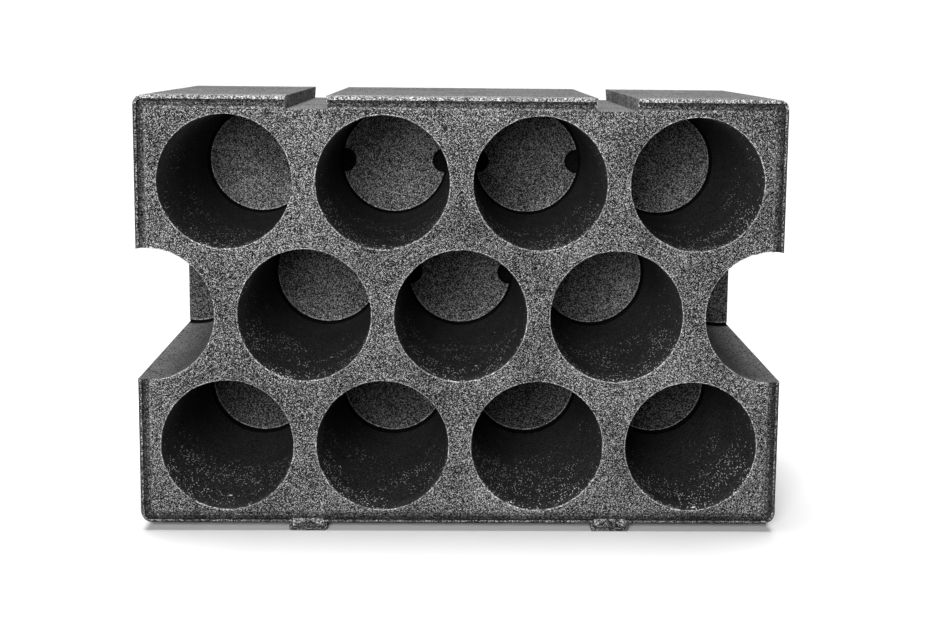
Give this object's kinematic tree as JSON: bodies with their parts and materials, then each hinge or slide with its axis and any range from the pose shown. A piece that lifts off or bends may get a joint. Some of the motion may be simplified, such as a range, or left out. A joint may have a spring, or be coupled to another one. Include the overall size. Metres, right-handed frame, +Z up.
{
  "type": "foam bottle rack",
  "caption": "Moulded foam block with staggered round bores for bottles laid on their sides, half bores at the sides, slots on top and tongues below for stacking.",
  "frame": {"origin": "middle of the footprint, at the height of the surface that the rack stands on", "axes": "+Z up, mouths of the bores towards -Y, +X to the right when facing the mouths"},
  "size_m": [0.5, 0.25, 0.3412],
  "materials": {
    "bead_foam": "matte, speckled with fused beads"
  },
  "bodies": {
    "root": {"rack_block": "bead_foam"}
  },
  "joints": []
}
